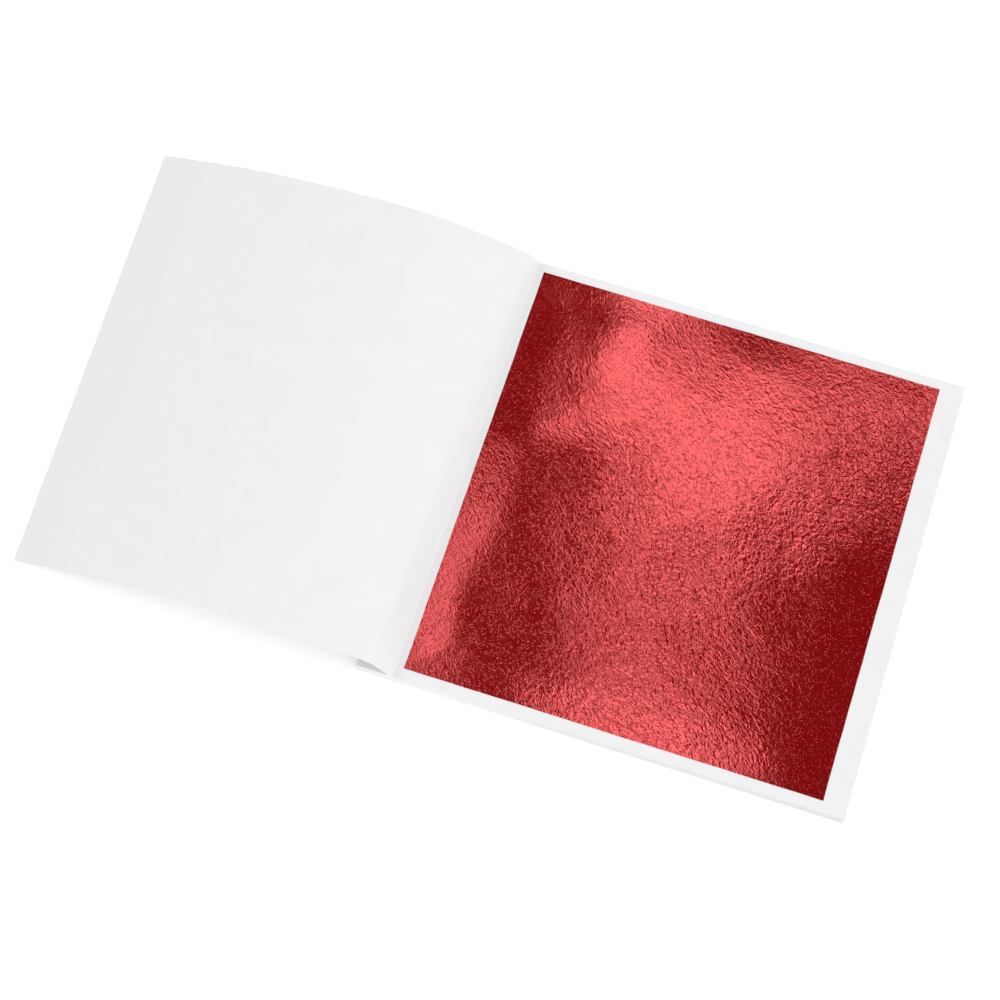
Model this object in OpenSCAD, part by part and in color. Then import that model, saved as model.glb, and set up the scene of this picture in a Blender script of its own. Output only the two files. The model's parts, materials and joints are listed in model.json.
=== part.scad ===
// Leaf booklet: loose metallic leaves between white tissue pages, stapled along one edge,
// lying open at the first leaf. Millimetres, +Z up, fore-edge towards +X, spine towards -X.
// The origin is the centre of the back cover's underside, which lies on the table.

/* [Leaf] */
// Size of a leaf from the gutter to the fore-edge
leaf_w = 80; // [60:1:160]
// Size of a leaf along the spine
leaf_h = 85; // [70:1:160]
// Thickness of a leaf
leaf_t = 0.02; // [0.01:0.01:0.05]
// How many leaves the booklet holds
leaf_count = 25; // [2:1:25]
// How far the leaves lie towards the head of the page
leaf_shift = 0.2; // [0:0.1:1]

/* [Pages] */
// Thickness of a tissue page
page_t = 0.05; // [0.03:0.01:0.1]
// Air between two sheets that lie on each other
sheet_gap = 0.01; // [0.01:0.01:0.03]
// Width of the margin that the staples hold
binding_w = 7; // [5:0.5:12]
// Page showing between the fold line and the leaf
gutter_margin = 1.5; // [1:0.1:5]
// Page showing past the leaf at the fore-edge
fore_margin = 4.6; // [1:0.1:8]
// Page showing past the leaf at the head and at the tail
end_margin = 2; // [1.2:0.1:6]

/* [Covers] */
// Thickness of the back cover
back_cover_t = 0.4; // [0.35:0.05:1]
// Thickness of the front cover
front_cover_t = 0.25; // [0.15:0.05:0.5]
// How much narrower the front cover and the first page are cut than the pages
front_trim = 5.8; // [0:0.1:9]

/* [Turned sheets] */
// Width of the stretch that bends up out of the gutter
fold_w = 6.5; // [4:0.1:8]
// Angle of that stretch above the fore-edge direction
fold_angle = 130; // [120:1:140]
// Height of the crown of the rest above its own chord
panel_bow = 4.4; // [1.5:0.1:6]

/* [Staples] */
// Length of a staple's crown
staple_l = 12; // [8:1:14]
// Width of the flat wire
wire_w = 0.5; // [0.3:0.05:0.6]
// Thickness of the flat wire
wire_t = 0.25; // [0.15:0.05:0.25]
// Distance from the spine edge to the wire's centre
staple_edge = 3; // [1.5:0.5:3]
// Distance from one staple's centre to the other's
staple_pitch = 46; // [20:1:50]
// Distance between the tips of a staple's two bent legs
clinch_space = 1.2; // [0.4:0.1:3]

/* [Clearances] */
// Room for a turning page between its axis and its solid
axis_gap = 0.2; // [0.15:0.05:0.4]
// Distance from the fold line back to the end of the held margin
margin_gap = 0.65; // [0.6:0.05:1]
// Distance from the fold line on to the axis of the top page
page_axis_shift = 0.3; // [0.25:0.05:0.5]
// How much further on each lower page's axis lies, in page thicknesses
page_axis_step = 0.9; // [0.8:0.1:1.2]
// Room round the wire in its holes and grooves
wire_gap = 0.05; // [0.03:0.01:0.08]

/* [Hidden] */
ARC_STEPS = 12;
// How far a cut runs past the face that it opens
CUT_OVER = 1;
FIRST_PAGE = 2;
LAST_PAGE = leaf_count + 1;
function two_digits(n) = str(n < 10 ? "0" : "", n);
function page_name(n) = str("tissue_", two_digits(n));
function leaf_name(n) = str("leaf_", two_digits(n));

page_w = binding_w + gutter_margin + leaf_w + fore_margin;
page_h = leaf_h + 2 * end_margin;
spine_x = -page_w / 2;
fore_x = page_w / 2;
fold_x = spine_x + binding_w;
margin_end_x = fold_x - margin_gap;

// A page and the leaf on it, with the air over each, repeat at this pitch
pitch = page_t + leaf_t + 2 * sheet_gap;
function page_z(n) = back_cover_t + sheet_gap + (LAST_PAGE - n) * pitch;
function leaf_z(n) = page_z(n + 1) + page_t + sheet_gap;
function page_axis_x(n) = fold_x + page_axis_shift + (n - FIRST_PAGE) * page_axis_step * page_t;
stack_top = leaf_z(1) + leaf_t;

// The turned sheets follow one guide line, with the first page on one side and the cover on the
// other. Height over the line is positive on the cover's side.
guide_z = stack_top + 1.5 * sheet_gap + page_t;
PAGE_SIDE = [-sheet_gap / 2 - page_t, -sheet_gap / 2];
COVER_SIDE = [sheet_gap / 2, sheet_gap / 2 + front_cover_t];
cover_margin_z = guide_z + sheet_gap / 2;
binding_top = cover_margin_z + front_cover_t;

// The guide line runs straight along the fold and then in one arc down to the table
panel_l = page_w - front_trim - binding_w - fold_w;
arc_turn = 8 * panel_bow / panel_l * 180 / PI;
arc_r = panel_l / (arc_turn * PI / 180);
arc_chord = 2 * arc_r * sin(arc_turn / 2);
fold_end = [fold_x + fold_w * cos(fold_angle), guide_z + fold_w * sin(fold_angle)];
arc_end_z = COVER_SIDE[1];
arc_start_angle = 180 + asin((fold_end[1] - arc_end_z) / arc_chord) - arc_turn / 2;

// Each leg of a staple is bent inwards and lies in a groove under the back cover
clinch_l = (staple_l - clinch_space) / 2;
groove_depth = wire_t + wire_gap;

function across(angle) = [-sin(angle), cos(angle)];
function along(angle) = [cos(angle), sin(angle)];
function fold_point(s) = [fold_x, guide_z] + s * along(fold_angle);
function clinch_start(side) = side * (staple_l - clinch_l) / 2 - clinch_l / 2;
function arc_angle(s) = arc_start_angle + s / arc_r * 180 / PI;
function arc_point(s) = fold_end + arc_r * (across(arc_start_angle) - across(arc_angle(s)));

// Cuts: a flat sheet of the page's height, and a band that follows points of the guide line
module flat_sheet(x0, x1, z, thickness) {
    translate([x0, -page_h / 2, z]) cube([x1 - x0, page_h, thickness]);
}

module band(points, angles, side) {
    last = len(points) - 1;
    lower = [for (i = [0:last]) points[i] + side[0] * across(angles[i])];
    upper = [for (i = [last:-1:0]) points[i] + side[1] * across(angles[i])];
    rotate([90, 0, 0]) linear_extrude(height = page_h, center = true) polygon(concat(lower, upper));
}

module fold_band(side) {
    ends = [axis_gap, fold_w - axis_gap];
    band([for (s = ends) fold_point(s)], [for (s = ends) fold_angle], side);
}

module arc_band(s0, s1, side) {
    stops = [for (i = [0:ARC_STEPS]) s0 + (s1 - s0) * i / ARC_STEPS];
    band([for (s = stops) arc_point(s)], [for (s = stops) arc_angle(s)], side);
}

module inner_half(side) {
    arc_band(axis_gap, panel_l / 2 - axis_gap, side);
}

module outer_half(side) {
    arc_band(panel_l / 2 + axis_gap, panel_l, side);
}

// Staples: flat wire, a crown on top, two legs down and clinched inwards under the back cover
module at_staples() {
    for (side = [-1, 1]) translate([spine_x + staple_edge, side * staple_pitch / 2, 0]) children();
}

module leg_holes(z0, z1) {
    room = 2 * wire_gap;
    for (side = [-1, 1])
        translate([-(wire_w + room) / 2, side * (staple_l - wire_t) / 2 - (wire_t + room) / 2, z0])
            cube([wire_w + room, wire_t + room, z1 - z0]);
}

module clinch_grooves() {
    room = 2 * wire_gap;
    for (side = [-1, 1])
        translate([-(wire_w + room) / 2, clinch_start(side) - wire_gap, -CUT_OVER])
            cube([wire_w + room, clinch_l + room, CUT_OVER + groove_depth]);
}

module staple() {
    crown_z = binding_top + sheet_gap;
    translate([-wire_w / 2, -staple_l / 2, crown_z]) cube([wire_w, staple_l, wire_t]);
    for (side = [-1, 1]) {
        translate([-wire_w / 2, side * (staple_l - wire_t) / 2 - wire_t / 2, sheet_gap])
            cube([wire_w, wire_t, crown_z - sheet_gap]);
        translate([-wire_w / 2, clinch_start(side), sheet_gap]) cube([wire_w, clinch_l, wire_t]);
    }
}

module staples() {
    color("silver") at_staples() staple();
}

module back_cover() {
    color("whitesmoke") difference() {
        flat_sheet(spine_x, fore_x, 0, back_cover_t);
        at_staples() leg_holes(-CUT_OVER, back_cover_t + CUT_OVER);
        at_staples() clinch_grooves();
    }
}

// The staples hold this strip of every page and of the front cover
module bound_margins() {
    color("white") difference() {
        union() {
            for (n = [1:LAST_PAGE]) flat_sheet(spine_x, margin_end_x, page_z(n), page_t);
            flat_sheet(spine_x, margin_end_x, cover_margin_z, front_cover_t);
        }
        at_staples() leg_holes(0, binding_top + CUT_OVER);
    }
}

module front_cover_fold() { color("whitesmoke") fold_band(COVER_SIDE); }
module front_cover_inner_half() { color("whitesmoke") inner_half(COVER_SIDE); }
module front_cover_outer_half() { color("whitesmoke") outer_half(COVER_SIDE); }
module tissue_01_fold() { color("white") fold_band(PAGE_SIDE); }
module tissue_01_inner_half() { color("white") inner_half(PAGE_SIDE); }
module tissue_01_outer_half() { color("white") outer_half(PAGE_SIDE); }

module page(n) {
    color("white") flat_sheet(page_axis_x(n) + axis_gap, fore_x, page_z(n), page_t);
}

module leaf(n) {
    color("crimson") translate([fold_x + gutter_margin, leaf_shift - leaf_h / 2, leaf_z(n)])
        cube([leaf_w, leaf_h, leaf_t]);
}

back_cover();
bound_margins();
staples();
front_cover_fold();
front_cover_inner_half();
front_cover_outer_half();
tissue_01_fold();
tissue_01_inner_half();
tissue_01_outer_half();
for (n = [FIRST_PAGE:LAST_PAGE]) page(n);
for (n = [1:leaf_count]) leaf(n);
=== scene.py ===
"""An open booklet of red metallic leaves between white tissue pages, built round its CAD frame."""
import json
import math

import bmesh
import bpy
import numpy as np
from bpy.props import FloatProperty, FloatVectorProperty, IntProperty, PointerProperty
from mathutils import Euler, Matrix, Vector


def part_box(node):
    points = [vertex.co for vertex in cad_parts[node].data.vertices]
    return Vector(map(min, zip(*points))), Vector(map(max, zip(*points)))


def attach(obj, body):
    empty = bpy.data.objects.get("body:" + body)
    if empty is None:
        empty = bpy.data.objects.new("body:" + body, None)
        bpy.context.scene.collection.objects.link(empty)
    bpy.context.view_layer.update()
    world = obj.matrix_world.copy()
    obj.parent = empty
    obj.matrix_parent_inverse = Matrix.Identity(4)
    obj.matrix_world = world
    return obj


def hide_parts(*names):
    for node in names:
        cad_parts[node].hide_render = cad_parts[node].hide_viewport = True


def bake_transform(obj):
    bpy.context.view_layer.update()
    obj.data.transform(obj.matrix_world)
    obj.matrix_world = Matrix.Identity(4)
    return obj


bl_info = {
    "name": "Leaf Booklet",
    "version": (1, 0, 0),
    "blender": (4, 5, 0),
    "location": "3D View > Sidebar > Leaf Booklet",
    "description": "Builds an open booklet of metallic leaves between tissue pages round its CAD frame",
    "category": "Add Mesh",
}

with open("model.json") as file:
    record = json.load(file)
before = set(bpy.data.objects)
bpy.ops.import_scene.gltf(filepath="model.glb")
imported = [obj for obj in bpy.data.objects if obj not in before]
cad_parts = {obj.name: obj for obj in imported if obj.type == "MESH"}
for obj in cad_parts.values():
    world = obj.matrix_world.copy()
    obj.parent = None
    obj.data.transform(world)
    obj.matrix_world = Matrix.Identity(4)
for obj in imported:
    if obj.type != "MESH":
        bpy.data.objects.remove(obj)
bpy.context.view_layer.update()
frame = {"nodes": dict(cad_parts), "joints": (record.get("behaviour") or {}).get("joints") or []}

MM = 0.001
# Length of paper that one unit of a sheet's map covers
UV_SPAN = 100 * MM
PAGES = sorted(name for name in frame["nodes"] if name.startswith("tissue_") and name.count("_") == 1)
LEAVES = sorted(name for name in frame["nodes"] if name.startswith("leaf_"))


# Places that come from the frame
def joint_place(name):
    """A point on a joint's axis at rest."""
    return Vector(next(joint["pos_m"] for joint in frame["joints"] if joint["name"] == name))


SPINE_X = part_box("back_cover")[0].x
FORE_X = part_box("back_cover")[1].x
HALF_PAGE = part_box("back_cover")[1].y
MARGIN_END_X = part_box("bound_margins")[1].x
LEAF_LOW, LEAF_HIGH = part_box("leaf_01")
LEAF_CENTRE = (LEAF_LOW + LEAF_HIGH) / 2
FOLD = joint_place("front_fold_turn")
INNER = joint_place("front_inner_turn")
OUTER = joint_place("front_outer_turn")


# Sizes and colours that a user would change
class LeafBookletTurnedSheets(bpy.types.PropertyGroup):
    panel_length: FloatProperty(
        name="Panel length", description="From the end of the fold to the free edge, along the sheet",
        default=73.8 * MM, min=10 * MM, subtype="DISTANCE", unit="LENGTH")
    panel_bow: FloatProperty(
        name="Panel bow", description="Height of the panel's crown above its own chord",
        default=4.4 * MM, min=0.5 * MM, subtype="DISTANCE", unit="LENGTH")
    card_thickness: FloatProperty(
        name="Card thickness", description="Thickness of the front cover",
        default=0.25 * MM, min=0.05 * MM, subtype="DISTANCE", unit="LENGTH")
    crease_radius: FloatProperty(
        name="Crease radius", description="Radius of the sharp bend in the gutter",
        default=0.35 * MM, min=0.3 * MM, subtype="DISTANCE", unit="LENGTH")
    shoulder_radius: FloatProperty(
        name="Shoulder radius", description="Radius of the soft bend from the fold to the panel",
        default=5 * MM, min=1 * MM, subtype="DISTANCE", unit="LENGTH")
    skew: FloatProperty(
        name="Skew", description="How far the free edge lies out of line with the spine",
        default=math.radians(2.3), subtype="ANGLE", unit="ROTATION")
    slack: FloatProperty(
        name="Slack", description="How much lower the shoulder lies at the head than at the tail",
        default=2.1 * MM, min=0, subtype="DISTANCE", unit="LENGTH")
    wave: FloatProperty(
        name="Wave", description="Height of the slow waves in the turned sheets",
        default=0.12 * MM, min=0, subtype="DISTANCE", unit="LENGTH")


class LeafBookletPages(bpy.types.PropertyGroup):
    wave: FloatProperty(
        name="Wave", description="Height of the slow waves in the top page; lower pages have less",
        default=0.16 * MM, min=0, max=0.2 * MM, subtype="DISTANCE", unit="LENGTH")
    gutter_dip: FloatProperty(
        name="Gutter dip", description="How far the top page dips into the gutter; lower pages dip less",
        default=0.45 * MM, min=0, max=0.8 * MM, subtype="DISTANCE", unit="LENGTH")
    rim_fill: FloatProperty(
        name="Rim fill", description="How far a page's rim fills the air left by the leaf under it",
        default=0.03 * MM, min=0, max=0.035 * MM, subtype="DISTANCE", unit="LENGTH")
    stray: FloatProperty(
        name="Stray", description="How far a page's edge may lie off the stack's edge",
        default=0.12 * MM, min=0, max=0.3 * MM, subtype="DISTANCE", unit="LENGTH")
    seed: IntProperty(
        name="Seed", description="Start of the random numbers for waves and strays", default=7)


class LeafBookletLeaves(bpy.types.PropertyGroup):
    swell: FloatProperty(
        name="Swell", description="Spread of the slow swells in the bare leaf",
        default=0.025 * MM, min=0, max=0.06 * MM, subtype="DISTANCE", unit="LENGTH")
    fold: FloatProperty(
        name="Fold", description="Spread of the soft folds in the bare leaf",
        default=0.005 * MM, min=0, max=0.04 * MM, subtype="DISTANCE", unit="LENGTH")
    grain: FloatProperty(
        name="Grain", description="Height of the leathery grain in the bare leaf",
        default=0.013 * MM, min=0, max=0.03 * MM, subtype="DISTANCE", unit="LENGTH")
    inset: FloatProperty(
        name="Inset", description="How much further from the gutter the pressed leaves start",
        default=0.7 * MM, min=0, subtype="DISTANCE", unit="LENGTH")
    metal_color: FloatVectorProperty(
        name="Metal colour", description="Colour of the metal where it faces the eye",
        default=(0.88, 0.004, 0.008), min=0, max=1, size=3, subtype="COLOR")
    seed: IntProperty(
        name="Seed", description="Start of the random numbers for the crumple", default=25)


class LeafBookletPaper(bpy.types.PropertyGroup):
    tissue_color: FloatVectorProperty(
        name="Tissue colour", description="Colour of the tissue pages",
        default=(0.84, 0.84, 0.84), min=0, max=1, size=3, subtype="COLOR")
    card_color: FloatVectorProperty(
        name="Card colour", description="Colour of the front and back covers",
        default=(0.83, 0.83, 0.83), min=0, max=1, size=3, subtype="COLOR")


class LeafBookletStaples(bpy.types.PropertyGroup):
    crown: FloatProperty(
        name="Crown", description="Length of a staple's crown over its legs",
        default=12 * MM, subtype="DISTANCE", unit="LENGTH")
    clinch: FloatProperty(
        name="Clinch", description="Length of each leg's bent end",
        default=5.4 * MM, subtype="DISTANCE", unit="LENGTH")
    width: FloatProperty(
        name="Wire width", description="Width of the flat wire",
        default=0.5 * MM, subtype="DISTANCE", unit="LENGTH")
    thickness: FloatProperty(
        name="Wire thickness", description="Thickness of the flat wire",
        default=0.25 * MM, subtype="DISTANCE", unit="LENGTH")


class LeafBookletStage(bpy.types.PropertyGroup):
    light_level: FloatProperty(
        name="Light level", description="Even light on the object; at 1 a colour renders as it is written",
        default=1.055, min=0)
    ceiling: FloatProperty(
        name="Ceiling", description="Brightness of the dim ceiling that metal reflects",
        default=0.015, min=0)
    key: FloatProperty(
        name="Key", description="Share of the light that comes from the soft lamp at the front right",
        default=0.125, min=0, max=1)
    card_brightness: FloatProperty(
        name="Card brightness", description="Brightness of the lit cards that the bare leaf reflects",
        default=1.14, min=0)
    lens: FloatProperty(
        name="Lens", description="Focal length of the camera on a 36 mm sensor, in millimetres",
        default=87.03, min=10)


# Shader building blocks
# The Mix node's two inputs and its output go by number, because several share a name
MIX_SOCKETS = {"FLOAT": (2, 3, 0), "RGBA": (6, 7, 2)}


def add(tree, kind, inputs=None, **settings):
    """Adds a node, changes its settings, and sets or links its inputs by name or number."""
    made = tree.nodes.new(kind)
    for name, value in settings.items():
        setattr(made, name, value)
    for name, value in (inputs or {}).items():
        if isinstance(value, bpy.types.NodeSocket):
            tree.links.new(value, made.inputs[name])
        else:
            made.inputs[name].default_value = value
    return made


def number(tree, operation, *values):
    """A Math node's result."""
    return add(tree, "ShaderNodeMath", dict(enumerate(values)), operation=operation).outputs[0]


def stretched(tree, vector, scale):
    """The vector with each axis scaled."""
    return add(tree, "ShaderNodeMapping", {"Vector": vector, "Scale": scale}).outputs[0]


def ranged(tree, value, low, high, new_low, new_high):
    """The value taken from one range to another, held inside the new one."""
    inputs = {"Value": value, "From Min": low, "From Max": high, "To Min": new_low, "To Max": new_high}
    return add(tree, "ShaderNodeMapRange", inputs).outputs[0]


def mixed(tree, factor, one, two, kind="FLOAT"):
    """The first value where the factor is 0, the second where it is 1."""
    first, second, result = MIX_SOCKETS[kind]
    inputs = {"Factor": factor, first: one, second: two}
    return add(tree, "ShaderNodeMix", inputs, data_type=kind).outputs[result]


def raised(tree, height, distance):
    """The normal of a surface that the height raises by so much from 0 to 1."""
    return add(tree, "ShaderNodeBump", {"Strength": 1.0, "Distance": distance, "Height": height}).outputs[0]


def noise(tree, vector, scale, detail=2.0, distortion=0.0):
    """Noise between 0 and 1."""
    inputs = {"Vector": vector, "Scale": scale, "Detail": detail, "Distortion": distortion}
    return add(tree, "ShaderNodeTexNoise", inputs).outputs[0]


def new_group(name, inputs, outputs):
    """An empty node group with named sockets, its input node and its output node."""
    group = bpy.data.node_groups.new(name, "ShaderNodeTree")
    for label, kind, value in inputs:
        socket = group.interface.new_socket(label, in_out="INPUT", socket_type="NodeSocket" + kind)
        if value is not None:
            socket.default_value = value
    for label, kind in outputs:
        group.interface.new_socket(label, in_out="OUTPUT", socket_type="NodeSocket" + kind)
    return group, group.nodes.new("NodeGroupInput").outputs, group.nodes.new("NodeGroupOutput").inputs


def paper_formation():
    """The clouds and fibres of a sheet of paper, seen as tone and felt as height."""
    if "Paper formation" in bpy.data.node_groups:
        return bpy.data.node_groups["Paper formation"]
    group, given, made = new_group(
        "Paper formation",
        [("Vector", "Vector", None), ("Color", "Color", (0.8, 0.8, 0.8, 1)),
         ("Cloud Size", "Float", 0.06), ("Cloud Depth", "Float", 0.02), ("Fibre Depth", "Float", 0.02)],
        [("Color", "Color"), ("Height", "Float"), ("Roughness", "Float")])
    place, cloud_scale = given["Vector"], number(group, "DIVIDE", 1.0, given["Cloud Size"])
    cloud = noise(group, place, cloud_scale, detail=3.0, distortion=0.6)
    long_fibres = noise(group, stretched(group, place, (1, 5, 1)), 90.0, detail=3.0, distortion=2.2)
    cross_fibres = noise(group, stretched(group, place, (5, 1, 1)), 75.0, detail=3.0, distortion=2.2)
    fibres = mixed(group, 0.5, long_fibres, cross_fibres)
    cloud_tone = number(group, "MULTIPLY", number(group, "SUBTRACT", cloud, 0.5), given["Cloud Depth"])
    fibre_tone = number(group, "MULTIPLY", number(group, "SUBTRACT", fibres, 0.5), given["Fibre Depth"])
    tone = number(group, "ADD", 1.0, number(group, "ADD", cloud_tone, fibre_tone))
    color = add(group, "ShaderNodeVectorMath", {0: given["Color"], "Scale": tone}, operation="SCALE")
    group.links.new(color.outputs[0], made["Color"])
    group.links.new(mixed(group, 0.6, cloud, fibres), made["Height"])
    group.links.new(ranged(group, fibres, 0.3, 0.7, 0.62, 0.8), made["Roughness"])
    return group


# The way that the bare leaf's wrinkles run, as an angle from the fore-edge direction towards the head
WRINKLE_ANGLE = math.radians(-37)
# Share of the leaf's colour that is left where it is most worn; how much of it is metal, and the index of
# refraction of the rest, which gives the whitish shine of its lacquer
WORN_SHARE, METAL_SHARE, LACQUER_IOR = 0.93, 0.66, 4.0


def leaf_grain():
    """Metal leaf: fine pits all over, leathery wrinkles where it is crumpled, and slow swells."""
    if "Leaf grain" in bpy.data.node_groups:
        return bpy.data.node_groups["Leaf grain"]
    group, given, made = new_group(
        "Leaf grain",
        [("Vector", "Vector", None), ("Crumpled", "Float", 0.0), ("Wrinkles", "Float", 1.0),
         ("Pits", "Float", 0.6), ("Swells", "Float", 0.0)],
        [("Height", "Float"), ("Wear", "Float")])
    along_wrinkles = add(group, "ShaderNodeMapping",
                         {"Vector": given["Vector"], "Rotation": (0, 0, -WRINKLE_ANGLE)}).outputs[0]
    drawn = stretched(group, along_wrinkles, (0.62, 1.0, 1.0))
    wide = noise(group, drawn, 78.0, detail=1.0, distortion=0.8)
    narrow = noise(group, drawn, 170.0, detail=0.0, distortion=0.6)
    ridges, small_ridges = (
        number(group, "ABSOLUTE", number(group, "SUBTRACT", field, 0.5)) for field in (wide, narrow))
    leather = number(group, "ADD", ridges, number(group, "MULTIPLY", small_ridges, 0.55))
    leather = number(group, "MULTIPLY", leather, number(group, "ADD", given["Crumpled"], 0.08))
    cells = add(group, "ShaderNodeTexVoronoi", {"Vector": given["Vector"], "Scale": 230.0})
    pits = ranged(group, cells.outputs["Distance"], 0.08, 0.3, 0.0, 1.0)
    slow = noise(group, given["Vector"], 5.0, detail=1.0, distortion=0.4)
    height = number(group, "MULTIPLY", leather, given["Wrinkles"])
    height = number(group, "ADD", height, number(group, "MULTIPLY", pits, given["Pits"]))
    height = number(group, "ADD", height, number(group, "MULTIPLY", slow, given["Swells"]))
    group.links.new(height, made["Height"])
    wear = ranged(group, noise(group, given["Vector"], 30.0, detail=4.0), 0.35, 0.65, 0.0, 1.0)
    group.links.new(wear, made["Wear"])
    return group


def new_material(name):
    """A material with a Principled shader; returns the material, its tree and the shader."""
    material = bpy.data.materials.new(name)
    material.use_nodes = True
    tree = material.node_tree
    return material, tree, tree.nodes["Principled BSDF"]


def sheet_coordinates(tree, has_map=True):
    """The sheet's own coordinates, which stay with the paper when it bends; without a map, its place."""
    if has_map:
        return add(tree, "ShaderNodeUVMap", uv_map="Sheet").outputs[0]
    place = add(tree, "ShaderNodeTexCoord").outputs["Object"]
    return stretched(tree, place, (1 / UV_SPAN, 1 / UV_SPAN, 1 / UV_SPAN))


def paper_material(name, color, cloud_size, cloud_depth, fibre_depth, bump, has_map=True):
    """White paper with its formation."""
    if name in bpy.data.materials:
        return bpy.data.materials[name]
    material, tree, shader = new_material(name)
    paper = add(tree, "ShaderNodeGroup", node_tree=paper_formation())
    tree.links.new(sheet_coordinates(tree, has_map), paper.inputs["Vector"])
    paper.inputs["Color"].default_value = (*color, 1)
    paper.inputs["Cloud Size"].default_value = cloud_size
    paper.inputs["Cloud Depth"].default_value = cloud_depth
    paper.inputs["Fibre Depth"].default_value = fibre_depth
    tree.links.new(paper.outputs["Color"], shader.inputs["Base Color"])
    tree.links.new(paper.outputs["Roughness"], shader.inputs["Roughness"])
    tree.links.new(raised(tree, paper.outputs["Height"], bump), shader.inputs["Normal"])
    shader.inputs["Specular IOR Level"].default_value = 0.3
    return material


def tissue_material(paper):
    """Thin smooth tissue."""
    return paper_material("White tissue", paper.tissue_color,
                          cloud_size=0.05, cloud_depth=0.05, fibre_depth=0.03, bump=0.012 * MM)


def card_material(paper, name="White card", has_map=True):
    """Plain matt card, with fewer clouds and coarser fibres."""
    return paper_material(name, paper.card_color,
                          cloud_size=0.12, cloud_depth=0.015, fibre_depth=0.035, bump=0.02 * MM,
                          has_map=has_map)


def leaf_material(leaves, name, wrinkles, pits, swells):
    """Red metallic leaf."""
    if name in bpy.data.materials:
        return bpy.data.materials[name]
    material, tree, shader = new_material(name)
    grain = add(tree, "ShaderNodeGroup", node_tree=leaf_grain())
    tree.links.new(sheet_coordinates(tree), grain.inputs["Vector"])
    crumpled = add(tree, "ShaderNodeAttribute", attribute_name="Crumpled").outputs["Fac"]
    tree.links.new(crumpled, grain.inputs["Crumpled"])
    grain.inputs["Wrinkles"].default_value = wrinkles
    grain.inputs["Pits"].default_value = pits
    grain.inputs["Swells"].default_value = swells
    fresh, worn = ((*(share * part for part in leaves.metal_color), 1) for share in (1.0, WORN_SHARE))
    tree.links.new(mixed(tree, grain.outputs["Wear"], fresh, worn, "RGBA"), shader.inputs["Base Color"])
    tree.links.new(ranged(tree, grain.outputs["Wear"], 0, 1, 0.06, 0.09), shader.inputs["Roughness"])
    tree.links.new(raised(tree, grain.outputs["Height"], 0.01 * MM), shader.inputs["Normal"])
    shader.inputs["Metallic"].default_value = METAL_SHARE
    shader.inputs["IOR"].default_value = LACQUER_IOR
    return material


def wire_material():
    """Bright flat steel wire with draw lines along it."""
    material, tree, shader = new_material("Staple wire")
    lines = noise(tree, stretched(tree, sheet_coordinates(tree), (1.0, 60.0, 1.0)), 40.0, detail=3.0)
    tone = add(tree, "ShaderNodeValToRGB", {"Fac": lines})
    stops = ((0.3, (0.6, 0.61, 0.63, 1)), (0.7, (0.74, 0.75, 0.77, 1)))
    for element, (position, color) in zip(tone.color_ramp.elements, stops):
        element.position, element.color = position, color
    tree.links.new(tone.outputs[0], shader.inputs["Base Color"])
    tree.links.new(ranged(tree, lines, 0.3, 0.7, 0.22, 0.38), shader.inputs["Roughness"])
    tree.links.new(raised(tree, lines, 0.004 * MM), shader.inputs["Normal"])
    shader.inputs["Metallic"].default_value = 1.0
    return material


# Mesh building blocks
def waves(rng, shape, step, shortest, longest, stretch=1.0, angle=0.0):
    """A field of waves between two lengths, with mean 0 and spread 1, drawn out along an angle."""
    up, right = np.fft.fftfreq(shape[0], step)[:, None], np.fft.fftfreq(shape[1], step)[None, :]
    along = right * math.cos(angle) + up * math.sin(angle)
    across = up * math.cos(angle) - right * math.sin(angle)
    frequency = np.hypot(along * stretch, across)
    band = (frequency > 1 / longest) & (frequency < 1 / shortest)
    field = np.fft.ifft2(np.fft.fft2(rng.standard_normal(shape)) * band).real
    return field / field.std()


def ramp(value, low, high):
    """0 below low, 1 above high, and smooth between them."""
    t = np.clip((value - low) / (high - low), 0, 1)
    return t * t * (3 - 2 * t)


def slow_waves(x, y, phases):
    """Slow waves from 0 to 1 over a sheet, the same for the same phases."""
    total = 0
    for length_x, length_y, phase in phases:
        total = total + np.sin(2 * math.pi * (x / length_x + y / length_y) + phase)
    return 0.5 + 0.5 * total / len(phases)


def outline(index):
    """The points round a grid, in order, starting along its first row."""
    return np.concatenate([index[0, :-1], index[:-1, -1], index[-1, :0:-1], index[:0:-1, 0]])


def grid_faces(index):
    """The four-sided faces of a grid of point numbers."""
    return np.stack([index[:-1, :-1], index[:-1, 1:], index[1:, 1:], index[1:, :-1]], -1).reshape(-1, 4)


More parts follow.
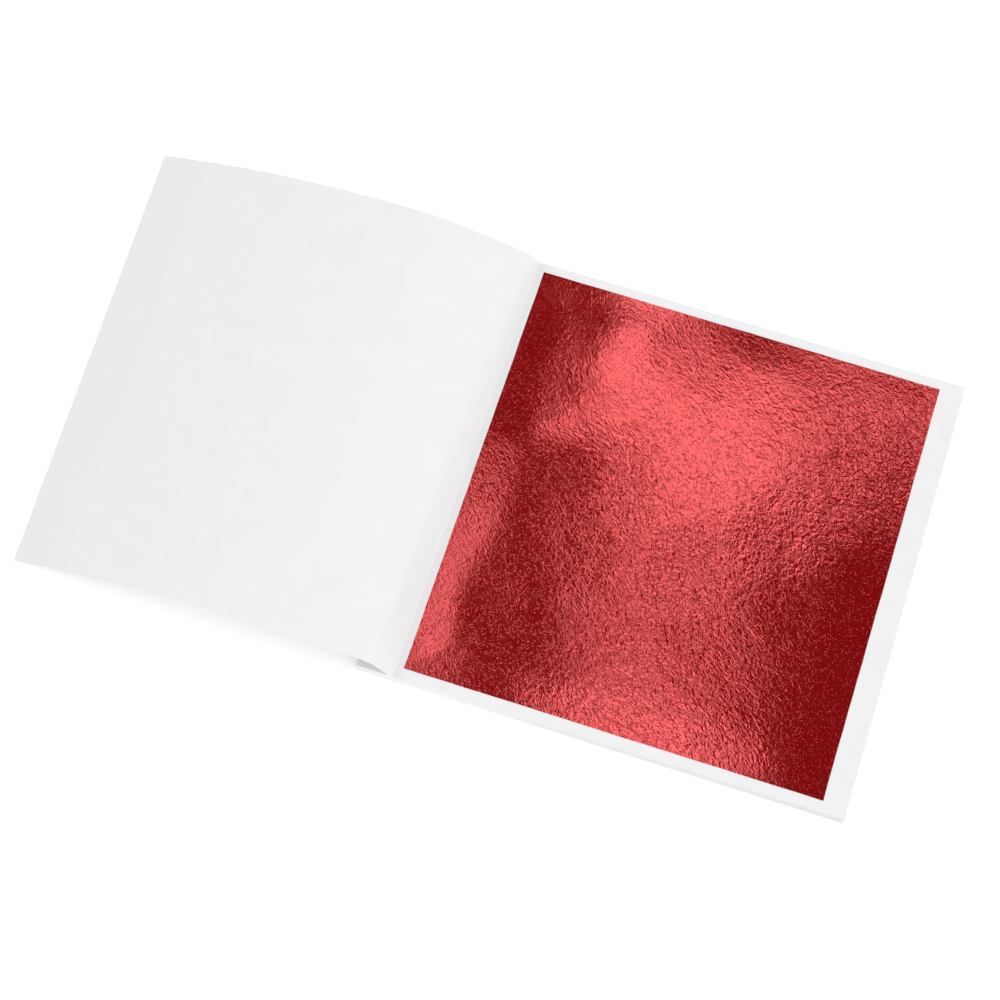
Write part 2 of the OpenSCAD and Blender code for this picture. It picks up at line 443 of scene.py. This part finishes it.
def closed_sheet(name, lower, upper, uv, material, back_steps=1):
    """A closed thin sheet between two grids of points, (rows along Y, columns, 3), with a sharp rim.
    The lower grid keeps one point of so many steps a side."""
    index = np.arange(upper.shape[0] * upper.shape[1]).reshape(upper.shape[:2])
    lower, back_uv = lower[::back_steps, ::back_steps], uv[::back_steps, ::back_steps]
    back = np.arange(lower.shape[0] * lower.shape[1]).reshape(lower.shape[:2]) + index.size
    above, below = outline(index), outline(back)
    faces = grid_faces(index).tolist() + grid_faces(back)[:, ::-1].tolist()
    for k, (one, two) in enumerate(zip(below, np.roll(below, -1))):
        stretch = [above[(k * back_steps + step) % len(above)] for step in range(back_steps, -1, -1)]
        faces.append([int(one), int(two), *map(int, stretch)])
    mesh = bpy.data.meshes.new(name)
    mesh.from_pydata(np.concatenate([upper.reshape(-1, 3), lower.reshape(-1, 3)]).tolist(), [], faces)
    layer = mesh.uv_layers.new(name="Sheet")
    corner = np.empty(len(mesh.loops), np.int32)
    mesh.loops.foreach_get("vertex_index", corner)
    flat = np.concatenate([uv.reshape(-1, 2), back_uv.reshape(-1, 2)])
    layer.data.foreach_set("uv", flat[corner].astype(np.float32).ravel())
    mesh.shade_smooth()
    mesh.set_sharp_from_angle(angle=math.radians(50))
    mesh.materials.append(material)
    mesh.update()
    piece = bpy.data.objects.new(name, mesh)
    bpy.context.scene.collection.objects.link(piece)
    return piece


# The turned cover and first tissue
# Steps along each stretch of their line, and rows from tail to head
LINE_STEPS = {"margin": 6, "crease": 14, "fold": 6, "shoulder": 12, "inner quarter": 10, "rest": 40}
TURNED_ROWS = 46
# Slow waves of the turned sheets and of the stack: length along X, length along Y, and phase
TURNED_WAVES = ((61 * MM, 190 * MM, 0.4), (-88 * MM, 57 * MM, 2.1), (140 * MM, -71 * MM, 4.4))
STACK_WAVES = ((74 * MM, 160 * MM, 1.1), (-120 * MM, 66 * MM, 3.4), (210 * MM, 47 * MM, 0.2))


def bent(start, start_heading, end, end_heading, steps):
    """Points and headings of a smooth bend from one line to another, without its first point."""
    turn = end_heading - start_heading
    reach = (end - start).length / (2 * math.sin(turn / 2)) * 4 / 3 * math.tan(turn / 4)
    one = start + reach * Vector((math.cos(start_heading), math.sin(start_heading)))
    two = end - reach * Vector((math.cos(end_heading), math.sin(end_heading)))
    made = []
    for step in range(1, steps + 1):
        t = step / steps
        u = 1 - t
        point = u ** 3 * start + 3 * u * u * t * one + 3 * u * t * t * two + t ** 3 * end
        slope = u * u * (one - start) + 2 * u * t * (two - one) + t * t * (end - two)
        heading = math.atan2(slope.y, slope.x)
        made.append((point, heading + 2 * math.pi if heading < -0.1 else heading))
    return made


def guide_line(sizes):
    """The line that the turned sheets follow from spine to free edge, in three lists that share ends."""
    fold, inner, outer = (Vector((place.x, place.z)) for place in (FOLD, INNER, OUTER))
    turn = 8 * sizes.panel_bow / sizes.panel_length
    radius = sizes.panel_length / turn
    to_outer = outer - inner
    panel_heading = math.atan2(to_outer.y, to_outer.x) % (2 * math.pi) - turn / 4
    fold_heading = math.atan2(inner.y - fold.y, inner.x - fold.x)

    def on_arc(distance):
        heading = panel_heading + distance / radius
        start = Vector((-math.sin(panel_heading), math.cos(panel_heading)))
        return inner + radius * (start - Vector((-math.sin(heading), math.cos(heading)))), heading

    def straight(start, end, steps, first=1):
        return [start.lerp(end, step / steps) for step in range(first, steps + 1)]

    up = Vector((math.cos(fold_heading), math.sin(fold_heading)))
    crease = sizes.crease_radius * math.tan(fold_heading / 2)
    shoulder = sizes.shoulder_radius * math.tan((panel_heading - fold_heading) / 2)
    quarter, end = sizes.panel_length / 4, sizes.panel_length
    start, before = Vector((SPINE_X, fold.y)), Vector((fold.x - crease, fold.y))
    foot, neck = fold + crease * up, inner - shoulder * up
    line = [(point, 0.0) for point in straight(start, before, LINE_STEPS["margin"], 0)]
    line += bent(before, 0.0, foot, fold_heading, LINE_STEPS["crease"])
    line += [(point, fold_heading) for point in straight(foot, neck, LINE_STEPS["fold"])]
    first_end = len(line) - 1 - LINE_STEPS["fold"] // 2
    line += bent(neck, fold_heading, *on_arc(shoulder), LINE_STEPS["shoulder"])
    for low, high, part in ((shoulder, quarter, "inner quarter"), (quarter, end, "rest")):
        steps = LINE_STEPS[part]
        second_end = len(line) - 1
        line += [on_arc(low + (high - low) * step / steps) for step in range(1, steps + 1)]
    travel = [0.0]
    for (one, _), (two, _) in zip(line, line[1:]):
        travel.append(travel[-1] + (two - one).length)
    full = [(point, heading, gone) for (point, heading), gone in zip(line, travel)]
    return full[:first_end + 1], full[first_end:second_end + 1], full[second_end:]


def turned_layer(sizes, line, low, high, trim, uv_shift):
    """The two faces of one layer along a stretch of the guide line, with waves, slack and skew."""
    ys = np.linspace(-HALF_PAGE, HALF_PAGE, TURNED_ROWS)
    point = np.array([list(p) for p, _, _ in line])
    heading = np.array([h for _, h, _ in line])
    gone = np.array([g for _, _, g in line])
    across = np.stack([-np.sin(heading), np.cos(heading)], -1)
    gutter = FOLD.x - SPINE_X
    start, shoulder = gutter + 4 * MM, gutter + (INNER - FOLD).length
    end = start + sizes.panel_length
    # The waves fade out at the gutter and at the free edge, and the slack on both sides of the shoulder
    free = ramp(gone, start, start + 12 * MM) * (1 - ramp(gone, end - 16 * MM, end - 2 * MM))
    lift = sizes.wave * slow_waves(gone[None, :], ys[:, None], TURNED_WAVES) * free[None, :]
    slack = ramp(gone, gutter + 0.6 * MM, shoulder) * (1 - ramp(gone, shoulder, shoulder + 17 * MM))
    drop = sizes.slack * slack[None, :] * (ys[:, None] + HALF_PAGE) / (2 * HALF_PAGE)
    far_share = ramp(gone, start + 40 * MM, end)
    share = np.clip((gone - start) / sizes.panel_length, 0, 1)[None, :]
    y = ys[:, None] + trim * far_share * (1 - ramp(ys[:, None], -HALF_PAGE, 0))
    faces = []
    for side in (low, high):
        # The waves push towards the outside of the arch, which is against across
        offset = side - lift
        x = point[None, :, 0] + offset * across[None, :, 0]
        x = x - ys[:, None] * math.sin(sizes.skew) * share + trim / 2 * share ** 4
        z = point[None, :, 1] + offset * across[None, :, 1] - drop
        faces.append(np.stack([x, y, z], -1))
    uv = np.stack(np.broadcast_arrays(gone[None, :] / UV_SPAN + uv_shift, ys[:, None] / UV_SPAN), -1)
    return faces[0], faces[1], uv


class LEAFBOOKLET_OT_turned_sheets(bpy.types.Operator):
    """Builds the front cover and the first tissue, turned over together in one low arch"""
    bl_idname = "leaf_booklet.turned_sheets"
    bl_label = "Turned Cover and First Tissue"

    def execute(self, context):
        sizes, paper = context.scene.leaf_booklet_turned, context.scene.leaf_booklet_paper
        half_air = 0.005 * MM
        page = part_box("tissue_02")[1].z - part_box("tissue_02")[0].z
        # Lower and upper face over the guide line
        faces = {"front_cover": (half_air, half_air + sizes.card_thickness),
                 "tissue_01": (-half_air - page, -half_air)}
        # Name, trim, material, slot, and where the layer is cut from its paper
        layers = (
            ("front_cover", 0.0, card_material(paper), "cover_paper", 3.3),
            ("tissue_01", 0.7 * MM, tissue_material(paper), "tissue_paper", 0.0),
        )
        fold_way = Vector((INNER.x - FOLD.x, 0, INNER.z - FOLD.z)).normalized()
        panel_way = Vector((OUTER.x - INNER.x, 0, OUTER.z - INNER.z)).normalized()
        half_turn = math.atan2(fold_way.z, fold_way.x) / 2
        crease = FOLD + sizes.crease_radius * Vector((-math.tan(half_turn), 0, 1))
        crease_way = Vector((math.cos(half_turn), 0, math.sin(half_turn)))
        # Each bend: name, body before and after it, middle, ways in and out, and reach on both sides
        bends = (
            ("gutter", "bound_block", "front_fold", crease, crease_way, crease_way, 0.3 * MM),
            ("shoulder", "front_fold", "front_inner", INNER, fold_way, panel_way, 2.1 * MM),
            ("panel", "front_inner", "front_outer", OUTER, panel_way, panel_way, 10 * MM),
        )
        for name, trim, material, slot, shift in layers:
            stands_for = (("bound_margins", name + "_fold"), (name + "_fold", name + "_inner_half"),
                          (name + "_inner_half", name + "_outer_half"))
            for line, bend, nodes in zip(guide_line(sizes), bends, stands_for):
                part, body, next_body, middle, way_in, way_out, reach = bend
                lower, upper, uv = turned_layer(sizes, line, *faces[name], trim, shift)
                piece = closed_sheet(f"{name}_{part}", lower, upper, uv, material)
                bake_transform(piece)
                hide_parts(*nodes)
        return {"FINISHED"}


# The pages and the leaves
# A page's grid: points over the end of the margin, the hinge, and the leaf's width and height
MARGIN_COLUMNS, HINGE_COLUMNS, LEAF_COLUMNS, LEAF_ROWS = 5, 10, 28, 29
# How far the outermost lines of that grid lie from the page's edge
RIM = np.array([0, 0.7, 1.3]) * MM


def stack_waves(x, y):
    """Slow waves from 0 to 1 that all pages and leaves of the stack share, with a flat gutter."""
    return slow_waves(x, y, STACK_WAVES) * ramp(x, LEAF_LOW.x + 1 * MM, LEAF_LOW.x + 22 * MM)


def depth_share(number_from_top):
    """How much of the top page's waves and dip a page has, from 1 at the top to 0 at the last."""
    return 1 - number_from_top / (len(PAGES) - 1)


def beyond_leaf(x, y):
    """How far a point lies outside the leaf's outline, at the fore-edge, the head and the tail."""
    return np.maximum(x - LEAF_HIGH.x, np.maximum(LEAF_LOW.y - y, y - LEAF_HIGH.y))


class LEAFBOOKLET_OT_pages(bpy.types.Operator):
    """Builds tissue pages 2 to the last, each one sheet from the spine to the fore-edge"""
    bl_idname = "leaf_booklet.pages"
    bl_label = "Tissue Pages"

    def execute(self, context):
        sizes, paper = context.scene.leaf_booklet_pages, context.scene.leaf_booklet_paper
        rng = np.random.default_rng(sizes.seed)
        rows = np.linspace(LEAF_LOW.y, LEAF_HIGH.y, LEAF_ROWS)
        ys = np.concatenate([RIM - HALF_PAGE, rows, HALF_PAGE - RIM[::-1]])
        # A page's hinge columns and gutter dip lie between its margin and this place, and its stray grows
        # from there to the fore-edge
        rigid_x = LEAF_LOW.x
        for place, node in enumerate(PAGES):
            low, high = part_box(node)
            page = "page" + node[-3:]
            axis = joint_place(page + "_turn")
            xs = np.concatenate([
                [SPINE_X, SPINE_X + 3 * MM],
                np.linspace(MARGIN_END_X, axis.x, MARGIN_COLUMNS)[:-1],
                np.linspace(axis.x, rigid_x, HINGE_COLUMNS),
                np.linspace(rigid_x, LEAF_HIGH.x, LEAF_COLUMNS)[1:],
                LEAF_HIGH.x + np.array([0.6, 1.2]) * MM,
                FORE_X - RIM[::-1]])
            x, y = np.meshgrid(xs, ys)
            rise = np.clip((rigid_x - x) / (rigid_x - FOLD.x - 0.2 * MM), 0, 1)
            valley = ramp(x, MARGIN_END_X, FOLD.x) * rise
            lift = depth_share(place) * (sizes.wave * stack_waves(x, y) - sizes.gutter_dip * valley)
            bare = ramp(beyond_leaf(x, y), 0.2 * MM, 1.2 * MM)
            fill = np.maximum(bare, 1 - ramp(x, SPINE_X, MARGIN_END_X))
            stray_x, stray_y = rng.uniform(-sizes.stray, 0), rng.uniform(-sizes.stray, sizes.stray)
            shift = rng.uniform(0, 9, 2)
            loose = ramp(x, rigid_x, FORE_X)
            uv = np.stack([x / UV_SPAN + shift[0], y / UV_SPAN + shift[1]], -1)
            x, y = x + stray_x * loose, y + stray_y * loose
            lower = np.stack([x, y, low.z + lift - sizes.rim_fill * fill], -1)
            upper = np.stack([x, y, high.z + lift], -1)
            piece = closed_sheet("page_sheet" + node[-3:], lower, upper, uv, tissue_material(paper))
            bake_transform(piece)
            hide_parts(node, "bound_margins")
        return {"FINISHED"}


# Lengths of the waves in a leaf's edges, in millimetres over 2 pi: along Y, and along X
EDGE_WAVES = (9, 4.1, 2.3, 1.1), (8, 4.7, 2.1, 1.2)


def leaf_grid(node, step, rng, stray, multiple=1):
    """A grid over a leaf with a slightly uneven edge, with a multiple of so many steps along each side."""
    low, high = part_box(node)
    columns = round((high.x - low.x) / step / multiple) * multiple + 1
    rows = round((high.y - low.y) / step / multiple) * multiple + 1
    x, y = np.meshgrid(np.linspace(low.x, high.x, columns), np.linspace(low.y, high.y, rows))
    middle_x, middle_y = (low.x + high.x) / 2, (low.y + high.y) / 2
    half_x, half_y = (high.x - low.x) / 2, (high.y - low.y) / 2
    side, end = (x - middle_x) / half_x, (y - middle_y) / half_y
    phases = rng.uniform(0, 2 * math.pi, (2, 4))
    uneven_x, uneven_y = (sum(np.sin(along / (length * MM) + phase) for length, phase in zip(lengths, row))
                          for along, lengths, row in zip((y, x), EDGE_WAVES, phases))
    x = x + stray * side ** 5 * (uneven_x / 4 - 1) / 2
    y = y + stray * end ** 5 * (uneven_y / 4 - 1) / 2
    return x, y, low.z, high.z


# The bare leaf's mesh: distance between points on its face, and how many of those make one on its back
GRAIN_STEP = 0.3 * MM
BACK_STEPS = 4
# Shortest and longest waves in its swells, folds and grain, and how far folds and grain are drawn out
SWELLS = 16 * MM, 60 * MM
FOLDS = 3.5 * MM, 10 * MM, 1.3, WRINKLE_ANGLE
GRAIN = 1.3 * MM, 3.4 * MM, 1.5, WRINKLE_ANGLE
# Height of the mean of swells and folds over the page, in spreads, and the highest grain
MEAN_HEIGHT, HIGHEST_GRAIN = 2.6, 1.5
# How crumpled the leaf is all over, and where it is more so: place from its centre, half width and half depth
# in millimetres, and how much
CRUMPLED_ALL_OVER = 0.12
CRUMPLED = ((6, -14, 20, 24, 0.9), (30, 22, 14, 18, 0.7), (-38, -2, 5, 8, 0.4), (-11, 4, 6, 12, 0.8),
            (-2, -42, 22, 8, 0.3), (0, 24, 18, 16, 0.22))


def crumple(rng, x, y, sizes):
    """The bare leaf's height over the page, and how crumpled it is: swells, folds, and a creased grain."""
    swell, fold, coarse = (waves(rng, x.shape, GRAIN_STEP, *band) for band in (SWELLS, FOLDS, GRAIN))
    across, up = (x - LEAF_CENTRE.x) / MM, (y - LEAF_CENTRE.y) / MM
    crumpled = CRUMPLED_ALL_OVER + sum(
        share * np.exp(-((across - middle_x) / half_x) ** 2 - ((up - middle_y) / half_y) ** 2)
        for middle_x, middle_y, half_x, half_y, share in CRUMPLED)
    crumpled = np.minimum(crumpled, 1.0)
    wrinkles = sizes.fold * (fold + MEAN_HEIGHT) + sizes.grain * np.minimum(np.abs(coarse), HIGHEST_GRAIN)
    relief = sizes.swell * (swell + MEAN_HEIGHT) + crumpled * wrinkles
    side = np.minimum(x - LEAF_LOW.x, LEAF_HIGH.x - x)
    end = np.minimum(y - LEAF_LOW.y, LEAF_HIGH.y - y)
    edge = 0.3 + 0.7 * ramp(np.minimum(side, end), 0, 8 * MM)
    return np.maximum(relief * edge, 0), crumpled


class LEAFBOOKLET_OT_top_leaf(bpy.types.Operator):
    """Builds the bare leaf on the top page, with its swells and wrinkles"""
    bl_idname = "leaf_booklet.top_leaf"
    bl_label = "Bare Leaf"

    def execute(self, context):
        sizes, pages = context.scene.leaf_booklet_leaves, context.scene.leaf_booklet_pages
        rng = np.random.default_rng(sizes.seed)
        x, y, bottom, top = leaf_grid("leaf_01", GRAIN_STEP, rng, 0.1 * MM, BACK_STEPS)
        relief, crumpled = crumple(rng, x, y, sizes)
        lift = pages.wave * stack_waves(x, y) + relief
        uv = np.stack([x / UV_SPAN, y / UV_SPAN], -1)
        material = leaf_material(sizes, "Red leaf, bare", wrinkles=7.0, pits=0.75, swells=0.0)
        piece = closed_sheet("metal_leaf_01", np.stack([x, y, bottom + lift], -1),
                             np.stack([x, y, top + lift], -1), uv, material, BACK_STEPS)
        layer = piece.data.attributes.new("Crumpled", "FLOAT", "POINT")
        both_faces = np.concatenate([crumpled.ravel(), crumpled[::BACK_STEPS, ::BACK_STEPS].ravel()])
        layer.data.foreach_set("value", both_faces.astype(np.float32))
        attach(piece, "leaf_01")
        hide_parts("leaf_01")
        return {"FINISHED"}


class LEAFBOOKLET_OT_leaves(bpy.types.Operator):
    """Builds the leaves that lie pressed between the pages"""
    bl_idname = "leaf_booklet.leaves"
    bl_label = "Pressed Leaves"

    def execute(self, context):
        sizes, pages = context.scene.leaf_booklet_leaves, context.scene.leaf_booklet_pages
        rng = np.random.default_rng(sizes.seed + 1)
        material = leaf_material(sizes, "Red leaf, pressed", wrinkles=25.0, pits=0.6, swells=60.0)
        for place, node in enumerate(LEAVES[1:], 1):
            x, y, bottom, top = leaf_grid(node, 2 * MM, rng, 0.15 * MM)
            x = LEAF_HIGH.x - (LEAF_HIGH.x - x) * (1 - sizes.inset / (LEAF_HIGH.x - LEAF_LOW.x))
            lift = pages.wave * depth_share(place) * stack_waves(x, y)
            uv = np.stack([x / UV_SPAN, y / UV_SPAN], -1) + rng.uniform(0, 9, 2)
            piece = closed_sheet("metal_" + node, np.stack([x, y, bottom + lift], -1),
                                 np.stack([x, y, top + lift], -1), uv, material)
            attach(piece, node)
            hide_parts(node)
        return {"FINISHED"}


# The back cover and the staples
# Radius of the wire's bends, and steps in each
BEND_RADIUS, BEND_STEPS = 0.3 * MM, 6
# Points round its section, the power that makes it flat (1 is round), and how thick its cut tips are
SECTION_POINTS, FLATTENING, TIP_SHARE = 16, 0.45, 0.55


class LEAFBOOKLET_OT_back_cover(bpy.types.Operator):
    """Gives the CAD back cover its card finish"""
    bl_idname = "leaf_booklet.back_cover"
    bl_label = "Back Cover"

    def execute(self, context):
        card = card_material(context.scene.leaf_booklet_paper, "White back card", has_map=False)
        materials = frame["nodes"]["back_cover"].data.materials
        materials.clear()
        materials.append(card)
        return {"FINISHED"}


def staple_path(sizes, low, high):
    """The wire's centre line in the staple's own Y and Z, with rounded bends, from one tip to the other."""
    half = sizes.thickness / 2
    leg = sizes.crown / 2 - half
    tip = sizes.crown / 2 - sizes.clinch
    corners = [(-tip, low + half), (-leg, low + half), (-leg, high - half),
               (leg, high - half), (leg, low + half), (tip, low + half)]
    path = []
    for before, corner, after in zip(corners, corners[1:], corners[2:]):
        before, corner, after = Vector(before), Vector(corner), Vector(after)
        start = corner + (before - corner).normalized() * BEND_RADIUS
        end = corner + (after - corner).normalized() * BEND_RADIUS
        centre = start + end - corner
        for step in range(BEND_STEPS + 1):
            way = (start - centre).lerp(end - centre, step / BEND_STEPS).normalized()
            path.append(centre + way * BEND_RADIUS)
    return [Vector(corners[0])] + path + [Vector(corners[-1])]


def pushed_out(value):
    """A cosine or sine pushed outwards, which makes a circle a rounded rectangle."""
    return math.copysign(abs(value) ** FLATTENING, value)


def wire_mesh(name, sizes, path, x, centre):
    """A closed flat wire along the path."""
    maker = bmesh.new()
    layer = maker.loops.layers.uv.new("Sheet")
    rings, gone = [], 0.0
    for k, point in enumerate(path):
        before, after = path[max(k - 1, 0)], path[min(k + 1, len(path) - 1)]
        way = (after - before).normalized()
        normal = Vector((-way.y, way.x))
        thickness = sizes.thickness * (TIP_SHARE if k in (0, len(path) - 1) else 1.0)
        ring = []
        for step in range(SECTION_POINTS):
            angle = 2 * math.pi * (step + 0.5) / SECTION_POINTS
            side = pushed_out(math.cos(angle)) * sizes.width / 2
            place = point + normal * (pushed_out(math.sin(angle)) * thickness / 2)
            ring.append(maker.verts.new((x + side, centre + place.x, place.y)))
        if k:
            gone += (point - before).length
        rings.append((ring, gone))
    for (one, start), (two, end) in zip(rings, rings[1:]):
        for k in range(SECTION_POINTS):
            face = maker.faces.new((one[k], one[k - 1], two[k - 1], two[k]))
            for corner, uv in zip(face.loops, ((start, k), (start, k - 1), (end, k - 1), (end, k))):
                corner[layer].uv = (uv[0] / UV_SPAN, uv[1] / 100)
    maker.faces.new(rings[0][0])
    maker.faces.new(rings[-1][0][::-1])
    bmesh.ops.recalc_face_normals(maker, faces=maker.faces)
    mesh = bpy.data.meshes.new(name)
    maker.to_mesh(mesh)
    maker.free()
    mesh.shade_smooth()
    mesh.set_sharp_from_angle(angle=math.radians(60))
    return mesh


class LEAFBOOKLET_OT_staples(bpy.types.Operator):
    """Builds the two flat wire staples with rounded bends"""
    bl_idname = "leaf_booklet.staples"
    bl_label = "Staples"

    def execute(self, context):
        sizes = context.scene.leaf_booklet_staples
        low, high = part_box("staples")
        path = staple_path(sizes, low.z, high.z)
        material = wire_material()
        centres = {"head": high.y - sizes.crown / 2, "tail": low.y + sizes.crown / 2}
        for label, centre in centres.items():
            mesh = wire_mesh("wire_staple_" + label, sizes, path, (low.x + high.x) / 2, centre)
            mesh.materials.append(material)
            piece = bpy.data.objects.new(mesh.name, mesh)
            bpy.context.scene.collection.objects.link(piece)
            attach(piece, "bound_block")
            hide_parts("staples")
        return {"FINISHED"}


# The stage: camera, table, world and lamps
# Camera fitted to the photo: place in millimetres, and turn
CAMERA_PLACE, CAMERA_TURN, SENSOR_WIDTH = (14.45, -158.5, 429.95), (0.3580, -0.0088, 0.3146), 36
# Half the table's width, its height, and how much brighter it looks than the light makes it
TABLE_HALF, TABLE_Z, TABLE_GLOW = 2.0, -0.02 * MM, 0.24
# The soft key lamp, and the low lamp that lights up the front edges, in metres; leaves don't reflect them
KEY_PLACE, KEY_SIZE = Vector((1.35, -0.9, 1.0)), 1.8
LOW_FILL = {"brightness": 2.0, "width": 0.9, "depth": 0.12,
            "place": (-0.1, -0.8, 0.13), "target": (-0.05, 0, 0)}
# Each card over the table: the part of the bare leaf that shows it, from left to right and near to far of
# the leaf's centre in millimetres, and its share of the brightness
CARDS = {
    "gutter side": (-30, -10, 12, 50, 1.15),
    "gutter side low": (-17, -10, -14, 10, 0.35),
    "crown": (-10, 18, 2, 34, 1.15),
    "far corner": (16, 50, 24, 41, 0.95),
    "middle": (-10, 9, -14, 2, 0.95),
    "centre": (-14, 18, -34, -14, 0.4),
    "left": (-66, -38.5, -62, -2, 0.9),
    "near": (-13, 23, -66, -35, 1.1),
}
CARD_HEIGHT = 600 * MM


def mirrored(camera, x, y):
    """Where the sight line from the camera meets the cards' height once the leaf has turned it back."""
    point = Vector((LEAF_CENTRE.x + x * MM, LEAF_CENTRE.y + y * MM, LEAF_HIGH.z))
    way = point - camera.location
    return point + Vector((way.x, way.y, -way.z)) * (CARD_HEIGHT - point.z) / -way.z


def add_lamp(name, brightness, width, depth, place, target, reflected=True):
    """A flat lamp that faces the target, as bright as the value says where it is reflected."""
    lamp = bpy.data.lights.new(name, "AREA")
    lamp.shape = "RECTANGLE"
    lamp.size, lamp.size_y = width, depth
    lamp.energy = brightness * math.pi * width * depth
    made = bpy.data.objects.new(name, lamp)
    made.location = place
    made.rotation_euler = (Vector(target) - Vector(place)).to_track_quat("-Z", "Y").to_euler()
    made.visible_glossy = reflected
    bpy.context.scene.collection.objects.link(made)


def studio_world(stage):
    """White for the eye, even light for matt surfaces, and a dim ceiling for metal to reflect."""
    world = bpy.data.worlds.new("Studio")
    world.use_nodes = True
    tree = world.node_tree
    tree.nodes.clear()
    way = add(tree, "ShaderNodeTexCoord").outputs["Generated"]
    height = add(tree, "ShaderNodeSeparateXYZ", {0: way}).outputs["Z"]
    room = ranged(tree, height, 0.05, 0.6, 1.0, stage.ceiling)
    rays = add(tree, "ShaderNodeLightPath").outputs
    level = mixed(tree, rays["Is Diffuse Ray"], room, stage.light_level * (1 - stage.key))
    level = mixed(tree, rays["Is Camera Ray"], level, 1.0)
    background = add(tree, "ShaderNodeBackground", {"Color": (1, 1, 1, 1), "Strength": level})
    add(tree, "ShaderNodeOutputWorld", {"Surface": background.outputs[0]})
    return world


def floor_material():
    """A white table top that keeps the object's shadow."""
    material, tree, shader = new_material("White table")
    clouds = noise(tree, add(tree, "ShaderNodeTexCoord").outputs["Object"], 9.0)
    tree.links.new(ranged(tree, clouds, 0.4, 0.6, 0.955, 0.96), shader.inputs["Base Color"])
    shader.inputs["Roughness"].default_value = 1.0
    shader.inputs["Specular IOR Level"].default_value = 0.0
    rays = add(tree, "ShaderNodeLightPath").outputs
    seen = number(tree, "MAXIMUM", rays["Is Camera Ray"],
                  number(tree, "MAXIMUM", rays["Is Glossy Ray"], rays["Is Transmission Ray"]))
    shader.inputs["Emission Color"].default_value = (1, 1, 1, 1)
    tree.links.new(number(tree, "MULTIPLY", seen, TABLE_GLOW), shader.inputs["Emission Strength"])
    return material


class LEAFBOOKLET_OT_stage(bpy.types.Operator):
    """Makes the camera, the white table, the even light and the cards that the leaf reflects"""
    bl_idname = "leaf_booklet.stage"
    bl_label = "Stage"

    def execute(self, context):
        scene, stage = context.scene, context.scene.leaf_booklet_stage
        data = bpy.data.cameras.new("Camera")
        data.sensor_width, data.lens = SENSOR_WIDTH, stage.lens
        data.clip_start, data.clip_end = 10 * MM, 20
        camera = bpy.data.objects.new("Camera", data)
        camera.location = Vector(CAMERA_PLACE) * MM
        camera.rotation_euler = Euler(CAMERA_TURN, "XYZ")
        scene.collection.objects.link(camera)
        scene.camera = camera

        corners = [(x * TABLE_HALF, y * TABLE_HALF, TABLE_Z) for x, y in ((-1, -1), (1, -1), (1, 1), (-1, 1))]
        mesh = bpy.data.meshes.new("Table")
        mesh.from_pydata(corners, [], [(0, 1, 2, 3)])
        mesh.materials.append(floor_material())
        table = bpy.data.objects.new("Table", mesh)
        scene.collection.objects.link(table)

        for name, (left, right, near, far, share) in CARDS.items():
            low, high = mirrored(camera, left, near), mirrored(camera, right, far)
            middle = (low + high) / 2
            add_lamp("Card " + name, share * stage.card_brightness, high.x - low.x, high.y - low.y,
                     middle, (middle.x, middle.y, 0))
        # What the table gets from a flat lamp as bright as 1 that faces it: the area times both cosines over
        # the square of the distance and pi
        share = KEY_SIZE ** 2 * KEY_PLACE.z / KEY_PLACE.length ** 3 / math.pi
        brightness = stage.key * stage.light_level / share
        add_lamp("Key", brightness, KEY_SIZE, KEY_SIZE, KEY_PLACE, (0, 0, 0), reflected=False)
        add_lamp("Low fill", **LOW_FILL, reflected=False)
        scene.world = studio_world(stage)
        scene.view_settings.view_transform = "Standard"
        return {"FINISHED"}


# The panel, and the order of the work
OPERATORS = (
    LEAFBOOKLET_OT_stage,
    LEAFBOOKLET_OT_turned_sheets,
    LEAFBOOKLET_OT_pages,
    LEAFBOOKLET_OT_top_leaf,
    LEAFBOOKLET_OT_leaves,
    LEAFBOOKLET_OT_back_cover,
    LEAFBOOKLET_OT_staples,
)
GROUPS = {
    "leaf_booklet_turned": LeafBookletTurnedSheets,
    "leaf_booklet_pages": LeafBookletPages,
    "leaf_booklet_leaves": LeafBookletLeaves,
    "leaf_booklet_paper": LeafBookletPaper,
    "leaf_booklet_staples": LeafBookletStaples,
    "leaf_booklet_stage": LeafBookletStage,
}


class LEAFBOOKLET_PT_panel(bpy.types.Panel):
    """Lists the booklet's sizes and its building steps"""
    bl_idname = "LEAFBOOKLET_PT_panel"
    bl_label = "Leaf Booklet"
    bl_space_type = "VIEW_3D"
    bl_region_type = "UI"
    bl_category = "Leaf Booklet"

    def draw(self, context):
        for name, group in GROUPS.items():
            box = self.layout.box()
            for label in group.__annotations__:
                box.prop(getattr(context.scene, name), label)
        for operator in OPERATORS:
            self.layout.operator(operator.bl_idname)


def register():
    for cls in (*GROUPS.values(), *OPERATORS, LEAFBOOKLET_PT_panel):
        bpy.utils.register_class(cls)
    for name, group in GROUPS.items():
        setattr(bpy.types.Scene, name, PointerProperty(type=group))


def unregister():
    for name in GROUPS:
        delattr(bpy.types.Scene, name)
    for cls in reversed((*GROUPS.values(), *OPERATORS, LEAFBOOKLET_PT_panel)):
        bpy.utils.unregister_class(cls)


def main():
    register()
    bpy.ops.leaf_booklet.stage()
    bpy.ops.leaf_booklet.turned_sheets()
    bpy.ops.leaf_booklet.pages()
    bpy.ops.leaf_booklet.top_leaf()
    bpy.ops.leaf_booklet.leaves()
    bpy.ops.leaf_booklet.back_cover()
    bpy.ops.leaf_booklet.staples()


if __name__ == "__main__":
    main()
